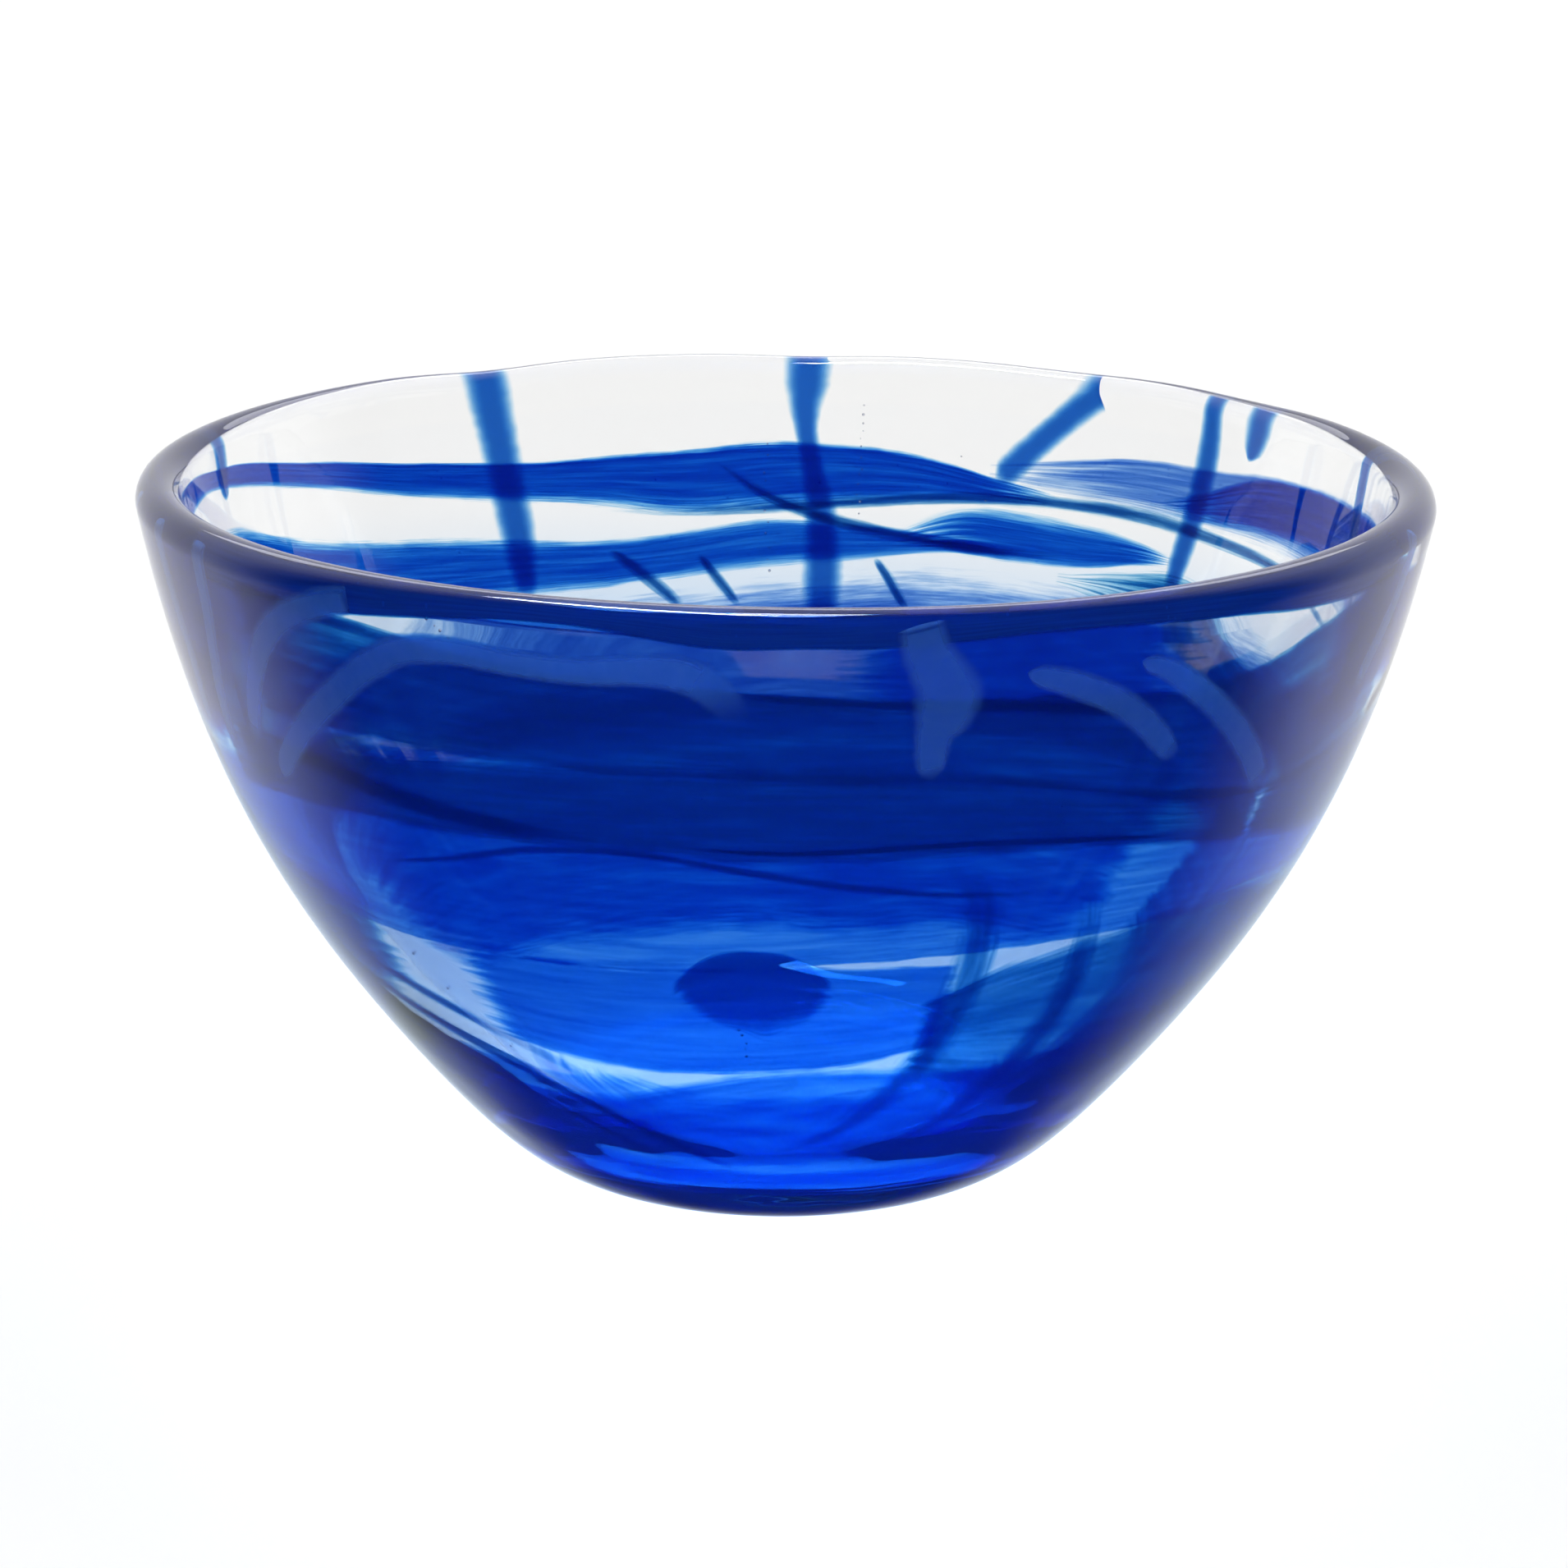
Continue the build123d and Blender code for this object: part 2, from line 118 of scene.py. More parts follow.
def smooth(x, start, end):
    """0 below start, 1 above end, smooth between."""
    x = np.clip((np.asarray(x, float) - start) / (end - start), 0, 1)
    return x * x * (3 - 2 * x)


def hand_made(azimuth, radius, height):
    """Turns true round places into the slightly leaning, wavy bowl, as points in metres."""
    turn = np.radians(azimuth)
    x, y = radius * np.cos(turn), radius * np.sin(turn)
    near_lip = smooth(height, 62, 88)
    dip = sum(size * np.exp(-(((azimuth - at + 180) % 360 - 180) / wide)**2) for at, size, wide in LIP_DIPS)
    lifted = height - dip * near_lip - LEAN * x * smooth(height, 2, 60)
    return np.stack([x + LEAN * height, y, lifted], -1) * MM


# ------------------------------------------------------------------ mesh builders
SPAN_STEPS = 10     # points of a path between two stations
OVERRUN = 0.9       # degrees that a ribbon runs on past each end
END_TAPER = 0.04    # share of a ribbon's length over which each end thins out
THINNEST = 0.3      # least width of a trail or drip
FLOW_SCALE = 0.01   # turns millimetres into the UVs that streaks run along
SEED_STEP = 1.7     # keeps the streaks of two pieces apart


def make_object(name, points, faces, uvs=None, slots=None):
    """A smooth-shaded mesh object. uvs holds one list of (u, v) for each UV map, by point."""
    mesh = bpy.data.meshes.new(name)
    mesh.from_pydata([tuple(p) for p in points], [], faces)
    for uv_name, coordinates in (uvs or {}).items():
        layer = mesh.uv_layers.new(name=uv_name)
        corners = np.zeros(len(mesh.loops), int)
        mesh.loops.foreach_get("vertex_index", corners)
        layer.data.foreach_set("uv", np.asarray(coordinates, float)[corners].ravel())
    if slots is not None:
        mesh.polygons.foreach_set("material_index", slots)
    mesh.polygons.foreach_set("use_smooth", [True] * len(mesh.polygons))
    mesh.update()
    piece = bpy.data.objects.new(name, mesh)
    bpy.context.scene.collection.objects.link(piece)
    return piece


def revolved(name, profile, slots, steps=256):
    """A closed body of revolution from a profile of (radius, height) that starts and ends on the axis."""
    profile = np.asarray(profile, float)
    azimuths = np.arange(steps) * 360 / steps
    ring = profile[1:-1]
    rings = len(ring)
    points = [hand_made(0, *profile[0])]
    for azimuth in azimuths:
        points.extend(hand_made(azimuth, ring[:, 0], ring[:, 1]))
    points.append(hand_made(0, *profile[-1]))
    last = len(points) - 1
    faces, used = [], []
    for i in range(steps):
        here, there = 1 + i * rings, 1 + ((i + 1) % steps) * rings
        faces.append((0, there, here))
        used.append(slots[0])
        for j in range(rings - 1):
            faces.append((here + j, there + j, there + j + 1, here + j + 1))
            used.append(slots[j + 1])
        faces.append((here + rings - 1, there + rings - 1, last))
        used.append(slots[-1])
    body = make_object(name, points, faces, slots=used)
    sharpen_slot_edges(body.data)
    return body


def sharpen_slot_edges(mesh):
    """Keeps the shading from rolling round the edges where two slots meet, such as a seam's feather edge."""
    slots_at = {}
    for face in mesh.polygons:
        for key in face.edge_keys:
            slots_at.setdefault(key, set()).add(face.material_index)
    for edge in mesh.edges:
        edge.use_edge_sharp = len(slots_at[edge.key]) > 1


def closed_grid(name, outside, inside, flow, span):
    """A thin closed body from two grids of points that share a rim. flow and span are UVs for each point."""
    along, across = outside.shape[:2]
    count = along * across
    points = np.concatenate([outside.reshape(-1, 3), inside.reshape(-1, 3)])
    faces = []
    for i in range(along - 1):
        for j in range(across - 1):
            a, b = i * across + j, (i + 1) * across + j
            faces.append((a, a + 1, b + 1, b))
            faces.append((count + a, count + b, count + b + 1, count + a + 1))
    rim = list(range(across))
    rim += [i * across + across - 1 for i in range(1, along)]
    rim += [(along - 1) * across + j for j in range(across - 2, -1, -1)]
    rim += [i * across for i in range(along - 2, 0, -1)]
    for a, b in zip(rim, rim[1:] + rim[:1]):
        faces.append((b, a, count + a, count + b))
    doubled = {key: np.concatenate([uv.reshape(-1, 2)] * 2) for key, uv in (("flow", flow), ("span", span))}
    return make_object(name, points, faces, doubled)


def through(stations, steps):
    """A smooth path through stations (rows of numbers), as Catmull-Rom spans, with steps points a span."""
    rows = np.asarray(stations, float)
    rows = np.concatenate([[2 * rows[0] - rows[1]], rows, [2 * rows[-1] - rows[-2]]])
    result = []
    for p0, p1, p2, p3 in zip(rows, rows[1:], rows[2:], rows[3:]):
        for s in np.arange(steps) / steps:
            result.append(0.5 * (
                2 * p1 + (p2 - p0) * s + (2 * p0 - 5 * p1 + 4 * p2 - p3) * s**2
                + (3 * p1 - p0 - 3 * p2 + p3) * s**3))
    result.append(rows[-2])
    return np.array(result)


def ribbon_piece(name, fraction, stations, wander=0.35, seed=0):
    """A blue ribbon: a lens-shaped sheet in one layer, with slightly wandering edges.

    Its ends run on a little, so that two ribbons end to end flow into each other.
    """
    path = through(stations, SPAN_STEPS)
    azimuth, low, high = path.T
    overrun = math.copysign(OVERRUN, azimuth[-1] - azimuth[0])
    azimuth[0] -= overrun
    azimuth[-1] += overrun
    shift = random.Random(seed).uniform(0, 360)
    waves = [np.sin(np.radians(azimuth * k + shift * k)) / k**0.5 for k in (7, 13, 22)]
    low = low + wander * (waves[0] + 0.6 * waves[1]) * (low > 0)
    high = high + wander * (waves[2] - 0.7 * waves[0])
    across = np.linspace(0, 1, 15)
    start, end = reach_of(low, fraction), reach_of(high, fraction)
    reach = start[:, None] + (end - start)[:, None] * across
    length = np.arange(len(path)) / (len(path) - 1)
    lens_section = np.sqrt(np.clip(4 * across * (1 - across), 0, 1))
    tapered = np.sqrt(smooth(length, 0, END_TAPER) * smooth(1 - length, 0, END_TAPER))
    plump = lens_section[None] * tapered[:, None]
    turn = np.broadcast_to(azimuth[:, None], reach.shape)
    sides = []
    for side in (-1, 1):
        place = layer_point(reach, fraction + side * RIBBON_HALF * np.maximum(plump, 0.02))
        sides.append(hand_made(turn, place[..., 0], place[..., 1]))
    middle = layer_point(reach[:, 7], fraction)[:, 0]
    run = np.concatenate([[0], np.cumsum(np.abs(np.radians(np.diff(azimuth))) * middle[1:])])
    streaks_at = run[:, None] * FLOW_SCALE + seed * SEED_STEP
    flow = np.stack(np.broadcast_arrays(streaks_at, across[None]), -1)
    span = np.stack([length[:, None] + 0 * reach, (high - low)[:, None] * 0.1 + 0 * reach], -1)
    if azimuth[-1] < azimuth[0]:
        sides.reverse()
    return closed_grid(name, sides[0], sides[1], flow, span)


def cord_piece(name, fraction, stations, half, seed=0, rounded_start=True):
    """A thread or drip: a flattened body of changing width along a path in one layer."""
    path = through(stations, SPAN_STEPS)
    azimuth, height, width = path.T
    width = np.maximum(width, THINNEST)
    reach = reach_of(height, fraction)
    place = layer_point(reach, fraction)
    turn = np.radians(azimuth)
    centre = np.stack([place[:, 0] * np.cos(turn), place[:, 0] * np.sin(turn), place[:, 1]], -1)
    heading = np.gradient(centre, axis=0)
    steps = np.linalg.norm(np.diff(centre, axis=0), axis=1)
    run = np.concatenate([[0], np.cumsum(steps)])
    east = np.stack([-np.sin(turn), np.cos(turn), 0 * turn], -1)
    ahead = layer_point(reach + 0.5, fraction) - place
    ahead /= np.linalg.norm(ahead, axis=1, keepdims=True)
    north = np.stack([ahead[:, 0] * np.cos(turn), ahead[:, 0] * np.sin(turn), ahead[:, 1]], -1)
    heading_east = (heading * east).sum(1)
    heading_north = (heading * north).sum(1)
    size = np.hypot(heading_east, heading_north)
    side_east, side_north = -heading_north / size, heading_east / size
    reach_step = np.linalg.norm(layer_point(reach + 0.5, fraction) - place, axis=1) / 0.5
    length = run / run[-1]
    tip = np.sqrt(np.clip((run[-1] - run) / max(width[-1] * 0.6, 0.1), 0, 1))
    head = np.sqrt(np.clip(run / max(width[0] * 0.6, 0.1), 0, 1))
    ends = np.maximum(np.minimum(tip, head if rounded_start else 1), 0.04)
    across = np.linspace(-1, 1, 13)
    offset = (width * ends / 2)[:, None] * across
    turn_grid = azimuth[:, None] + np.degrees(offset * side_east[:, None] / place[:, :1])
    reach_grid = reach[:, None] + offset * side_north[:, None] / reach_step[:, None]
    reach_grid = np.minimum(reach_grid, REACH_LIMIT)
    plump = np.maximum(np.sqrt(np.clip(1 - across**2, 0, 1))[None] * ends[:, None], 0.02)
    sides = []
    for side in (-1, 1):
        point = layer_point(reach_grid, fraction + side * half * plump)
        sides.append(hand_made(turn_grid, point[..., 0], point[..., 1]))
    streaks_at = run[:, None] * FLOW_SCALE + seed * SEED_STEP
    flow = np.stack(np.broadcast_arrays(streaks_at, (across[None] + 1) / 2), -1)
    span = np.stack([length[:, None] + 0 * reach_grid, width[:, None] * 0.1 + 0 * reach_grid], -1)
    return closed_grid(name, sides[1], sides[0], flow, span)


# ------------------------------------------------------------------ materials
# How strongly each ink absorbs red, green and blue.
COBALT = (2.3, 0.93, 0.19)
NAVY = (2.5, 1.02, 0.42)
DEEP = (3.0, 1.5, 0.65)
PALE = (1.7, 0.97, 0.24)
DRIP_BLUE = (3.0, 1.4, 0.42)

SCATTER = 0.06          # share of light that one face of a ribbon scatters, for each unit of ink
CLEAR_INDEX = 1.5       # refractive index of the glass
RIM_LINE_PLACE = 0.09   # middle of a dark line along a ribbon's edge, as a share of its width
RIM_LINE_HALF = 0.08    # half of that line's width
FRAY = 0.25             # how far fine strands shift a ribbon's soft edge
BEND = 0.14             # how far the streaks sway across a ribbon


class Nodes:
    """Short names for building one material's nodes."""

    def __init__(self, name):
        self.material = bpy.data.materials.new(name)
        self.material.use_nodes = True
        self.tree = self.material.node_tree
        self.tree.nodes.clear()
        self.output = self.tree.nodes.new("ShaderNodeOutputMaterial")

    def add(self, kind, inputs=(), **settings):
        """A new node. Each input is a socket to link from, or a constant."""
        node = self.tree.nodes.new(kind)
        for key, value in settings.items():
            setattr(node, key, value)
        for key, value in dict(inputs).items():
            if isinstance(value, bpy.types.NodeSocket):
                self.tree.links.new(value, node.inputs[key])
            else:
                node.inputs[key].default_value = value
        return node

    def finish(self, shader):
        """Connects a shader node to the output and gives the finished material."""
        self.tree.links.new(shader.outputs[0], self.output.inputs[0])
        return self.material

    def blend_colour(self, factor, first, second):
        """A colour between two, by a factor."""
        mix = self.add("ShaderNodeMix", data_type="RGBA")
        self.tree.links.new(factor, mix.inputs[0])
        mix.inputs[6].default_value = (*first, 1)
        mix.inputs[7].default_value = (*second, 1)
        return mix.outputs[2]

    def maths(self, operation, first, second=0.0, third=0.0):
        """One step of arithmetic on numbers or sockets."""
        return self.add("ShaderNodeMath", {0: first, 1: second, 2: third}, operation=operation).outputs[0]

    def ramp(self, value, start, end):
        """0 at start and 1 at end, smooth between."""
        return self.add("ShaderNodeMapRange", {"Value": value, "From Min": start, "From Max": end},
                        interpolation_type="SMOOTHSTEP").outputs["Result"]

    def noise(self, vector, scale, stretch, detail=4.0, roughness=0.55):
        """Noise along a vector that is first stretched by three factors."""
        mapped = self.add("ShaderNodeMapping", {"Vector": vector, "Scale": stretch}).outputs[0]
        return self.add("ShaderNodeTexNoise", {
            "Vector": mapped, "Scale": scale, "Detail": detail, "Roughness": roughness}).outputs["Fac"]


def clear_material(name, waviness):
    """Clear glass, faintly grey above and tinged blue low down, with the slow ripples of a blown surface."""
    n = Nodes(name)
    place = n.add("ShaderNodeTexCoord").outputs["Object"]
    ripple = n.noise(place, 34.0, (1.0, 1.0, 1.6), detail=2.0)
    height = n.add("ShaderNodeSeparateXYZ", {0: place}).outputs[2]
    low_down = n.maths("SUBTRACT", 1.0, n.ramp(height, 0.012, 0.028))
    strength = n.maths("MULTIPLY_ADD", low_down, waviness * 5, waviness)
    bump = n.add("ShaderNodeBump", {"Strength": strength, "Distance": 0.0009, "Height": ripple}).outputs[0]
    cloud = n.noise(place, 12.0, (1.0, 1.0, 1.0), detail=1.0)
    tinge = n.maths("SUBTRACT", 1.0, n.ramp(n.maths("MULTIPLY_ADD", cloud, 0.012, height), 0.054, 0.078))
    tint = n.blend_colour(tinge, (0.956, 0.957, 0.960), (0.72, 0.83, 0.95))
    glass = n.add("ShaderNodeBsdfGlass", {
        "Color": tint, "Roughness": 0.0, "IOR": CLEAR_INDEX, "Normal": bump})
    return n.finish(glass)


def fused_material(name):
    """The seam between two gathers of one glass: fused, so light crosses it unbent, with a trace of haze."""
    n = Nodes(name)
    place = n.add("ShaderNodeTexCoord").outputs["Object"]
    haze = n.noise(place, 60.0, (1.0, 1.0, 1.0), detail=3.0)
    tint = n.blend_colour(haze, (1.0, 1.0, 1.0), (0.992, 0.995, 1.0))
    return n.finish(n.add("ShaderNodeBsdfTransparent", {"Color": tint}))


def ink_density(n, density, edges, rims, fades, streaks, grain):
    """How much colour lies at each place of a ribbon, from its UVs along and across the flow.

    grain scales how many strands lie side by side, so that a narrow trail has few.
    """
    flow = n.add("ShaderNodeUVMap", uv_map="flow").outputs[0]
    span = n.add("ShaderNodeUVMap", uv_map="span").outputs[0]
    length = n.add("ShaderNodeSeparateXYZ", {0: span}).outputs[0]
    bend = n.maths("SUBTRACT", n.noise(flow, 1.0, (7.0, 1.6, 1.0), detail=3.0), 0.5)
    straight = n.add("ShaderNodeSeparateXYZ", {0: flow}).outputs[1]
    across = n.maths("MULTIPLY_ADD", bend, BEND, straight)
    strand = n.ramp(n.noise(flow, 1.0, (5.0, 11.0 * grain, 1.0), detail=5.0, roughness=0.6), 0.3, 0.7)
    hair = n.ramp(n.noise(flow, 1.0, (9.0, 46.0 * grain, 1.0), detail=4.0, roughness=0.65), 0.3, 0.72)
    frayed = n.maths("MULTIPLY", n.maths("SUBTRACT", hair, 0.5), FRAY)
    low_edge = n.ramp(n.maths("ADD", n.maths("DIVIDE", across, edges[0]), frayed), 0.1, 1.0)
    above = n.maths("SUBTRACT", 1.0, across)
    high_edge = n.ramp(n.maths("ADD", n.maths("DIVIDE", above, edges[1]), frayed), 0.1, 1.0)
    body = n.maths("MULTIPLY", low_edge, high_edge)
    wisp = n.maths("SUBTRACT", strand, 0.5)
    start = n.ramp(n.maths("MULTIPLY_ADD", wisp, fades[0] * 0.5, length), 0.0, fades[0])
    left = n.maths("SUBTRACT", 1.0, length)
    end = n.ramp(n.maths("MULTIPLY_ADD", wisp, fades[1] * 0.5, left), 0.0, fades[1])
    body = n.maths("MULTIPLY", body, n.maths("MULTIPLY", start, end))
    streaked = n.maths("MULTIPLY_ADD", strand, streaks * 0.75, 1.0 - streaks * 0.5)
    streaked = n.maths("MULTIPLY_ADD", hair, streaks * 0.3, streaked)
    amount = n.maths("MULTIPLY", n.maths("MULTIPLY", body, streaked), density)
    for rim, side in ((rims[0], across), (rims[1], above)):
        if rim:
            off_line = n.maths("DIVIDE", n.maths("SUBTRACT", side, RIM_LINE_PLACE), RIM_LINE_HALF)
            line = n.maths("SUBTRACT", 1.0, n.maths("ABSOLUTE", off_line))
            line = n.maths("MULTIPLY", n.ramp(line, 0.0, 1.0), n.maths("MULTIPLY", body, rim))
            amount = n.maths("ADD", amount, line)
    return amount


def tint_of(n, amount, absorption):
    """Colour that one face of a ribbon lets through: each channel falls off with the amount of ink."""
    channels = [n.maths("POWER", math.exp(-rate / 2), amount) for rate in absorption]
    return n.add("ShaderNodeCombineColor", {0: channels[0], 1: channels[1], 2: channels[2]}).outputs[0]


def milky(n, colour):
    """Light scattered inside coloured glass, half of it back and half of it onward."""
    back = n.add("ShaderNodeBsdfDiffuse", {"Color": colour})
    onward = n.add("ShaderNodeBsdfTranslucent", {"Color": colour})
    return n.add("ShaderNodeMixShader", {0: 0.5, 1: back.outputs[0], 2: onward.outputs[0]})


def ink_material(name, absorption, density, edges, rims, fades, streaks, grain=1.0):
    """Translucent blue glass, streaked along its flow. It lies in clear glass, so it bends no light."""
    n = Nodes(name)
    amount = ink_density(n, density, edges, rims, fades, streaks, grain)
    place = n.add("ShaderNodeTexCoord").outputs["Object"]
    cells = n.add("ShaderNodeTexVoronoi", {"Vector": place, "Scale": 420.0, "Randomness": 1.0})
    speck = n.maths("SUBTRACT", 1.0, n.ramp(cells.outputs["Distance"], 0.05, 0.10))
    amount = n.maths("ADD", amount, n.maths("MULTIPLY", speck, n.maths("MULTIPLY", amount, 0.35)))
    through_part = n.add("ShaderNodeBsdfTransparent", {"Color": tint_of(n, amount, absorption)})
    glow = milky(n, (0.01, 0.11, 0.64, 1.0))
    mixed = n.add("ShaderNodeMixShader", {
        0: n.maths("MULTIPLY", amount, SCATTER), 1: through_part.outputs[0], 2: glow.outputs[0]})
    return n.finish(mixed)


def drip_material(name, density, milk, softness):
    """Soft grey-blue opal glass: it tints what is behind it and scatters a little of the light."""
    n = Nodes(name)
    flow = n.add("ShaderNodeUVMap", uv_map="flow").outputs[0]
    span = n.add("ShaderNodeUVMap", uv_map="span").outputs[0]
    length = n.add("ShaderNodeSeparateXYZ", {0: span}).outputs[0]
    across = n.add("ShaderNodeSeparateXYZ", {0: flow}).outputs[1]
    off_centre = n.maths("ABSOLUTE", n.maths("MULTIPLY_ADD", across, 2.0, -1.0))
    cloud = n.noise(flow, 1.0, (60.0, 2.0, 1.0), detail=3.0)
    soft = n.ramp(n.maths("SUBTRACT", n.maths("MULTIPLY_ADD", cloud, 0.2, 0.9), off_centre), 0.0, softness)
    ends = n.ramp(n.maths("SUBTRACT", 1.0, length), 0.0, 0.12)
    amount = n.maths("MULTIPLY", soft, ends)
    clear_part = n.add("ShaderNodeBsdfTransparent", {
        "Color": tint_of(n, n.maths("MULTIPLY", amount, density), DRIP_BLUE)})
    glow = milky(n, n.blend_colour(cloud, (0.07, 0.28, 0.85), (0.12, 0.36, 0.95)))
    mixed = n.add("ShaderNodeMixShader", {
        0: n.maths("MULTIPLY", amount, milk), 1: clear_part.outputs[0], 2: glow.outputs[0]})
    return n.finish(mixed)


def bubble_material(name):
    """Air trapped in the glass: light leaving the glass into a bubble bends the other way."""
    n = Nodes(name)
    place = n.add("ShaderNodeTexCoord").outputs["Object"]
    tint = n.blend_colour(n.noise(place, 90.0, (1.0, 1.0, 1.0)), (1.0, 1.0, 1.0), (0.97, 0.98, 1.0))
    return n.finish(n.add("ShaderNodeBsdfGlass", {"Color": tint, "Roughness": 0.02, "IOR": 1 / CLEAR_INDEX}))


def floor_material(name):
    """Pale matt studio sweep with a very faint mottle."""
    n = Nodes(name)
    place = n.add("ShaderNodeTexCoord").outputs["Object"]
    mottle = n.noise(place, 3.0, (1.0, 1.0, 1.0), detail=5.0)
    tint = n.blend_colour(mottle, (0.94, 0.94, 0.93), (0.97, 0.97, 0.96))
    return n.finish(n.add("ShaderNodeBsdfDiffuse", {"Color": tint}))


def settle(piece, node):
    """Makes a piece ride the bowl and stand for a CAD node."""
    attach(piece, "root")
    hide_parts(node)


# ------------------------------------------------------------------ clear glass
def clear_bodies():
    """The outer casing with its lip and foot, and the inner gather, meeting at a fused seam."""
    clear = clear_material("clear_glass", 0.12)
    fused = fused_material("fused_seam")
    wall = np.linspace(0, REACH_SCALE, 90)
    outside, normal = outer_curve(wall / REACH_SCALE)
    lip_in = layer_point(REACH_SCALE, 1.0)
    centre = (outside[-1] + lip_in) / 2
    spoke = outside[-1] - centre
    rise = np.array([-normal[-1][1], normal[-1][0]]) * -np.linalg.norm(spoke)
    turns = np.linspace(0, math.pi, 24)[1:-1]
    lip = [centre + spoke * math.cos(a) + rise * math.sin(a) for a in turns]
    tip = reach_of(GATHER_TIP, 1.0)
    seam_top = reach_of(GATHER_TOP, INTERFACE)
    upper_inside = layer_point(np.linspace(REACH_SCALE, tip, 6), 1.0)
    seam = layer_point(np.linspace(seam_top, 0, 60), INTERFACE)
    inside = layer_point(np.linspace(0, tip, 80), 1.0)
    flat = np.linspace(0, 1, 6)[1:-1]
    foot = [(FOOT_RADIUS * f, 0.0) for f in flat]
    seam_level = INTERFACE * FLOOR_THICKNESS

    profile = [(0, 0), *foot, *outside, *lip, *upper_inside]
    clear_rows = len(profile)
    profile += [*seam, *[(FOOT_RADIUS * f, seam_level) for f in flat[::-1]], (0, seam_level)]
    slots = [0] * (clear_rows - 1) + [1] * (len(profile) - clear_rows)
    casing = revolved("outer_casing_glass", profile, slots)

    profile = [(0, seam_level), *[(FOOT_RADIUS * f, seam_level) for f in flat], *seam[::-1]]
    fused_rows = len(profile)
    floor = [(FOOT_RADIUS * f, FLOOR_THICKNESS) for f in flat[::-1]]
    profile += [*inside[::-1], *floor, (0, FLOOR_THICKNESS)]
    slots = [1] * fused_rows + [0] * (len(profile) - 1 - fused_rows)
    gather = revolved("inner_gather_glass", profile, slots)
    for piece, node in ((casing, "outer_casing"), (gather, "inner_gather")):
        piece.data.materials.append(clear)
        piece.data.materials.append(fused)
        settle(piece, node)


